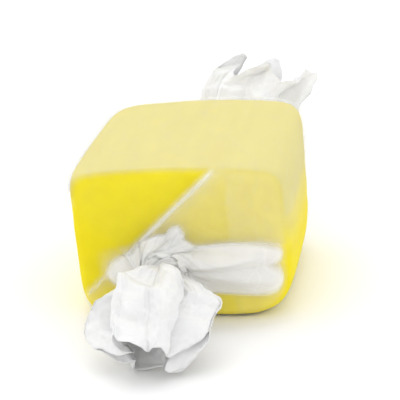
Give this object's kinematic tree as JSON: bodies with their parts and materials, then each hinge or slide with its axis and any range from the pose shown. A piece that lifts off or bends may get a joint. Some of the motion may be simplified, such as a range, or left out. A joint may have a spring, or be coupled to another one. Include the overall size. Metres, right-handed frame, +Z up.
{
  "type": "wrapped salt water taffy",
  "caption": "Chewy yellow taffy block rolled in waxed paper, with the paper folded over both ends, twisted tight and fanned out into crumpled tails.",
  "frame": {"origin": "under the middle of the sweet's box, on the surface that it lies on", "axes": "+Y along the twists, from the drooping front tail to the raised back tail; +Z up out of the surface; +X to the right as seen from the front tail"},
  "size_m": [0.0238, 0.06, 0.0178],
  "materials": {
    "taffy": "soft satin",
    "waxed_paper": "waxed, slightly see-through"
  },
  "bodies": {
    "root": {"taffy": "taffy", "wrapper": "waxed_paper"}
  },
  "joints": []
}
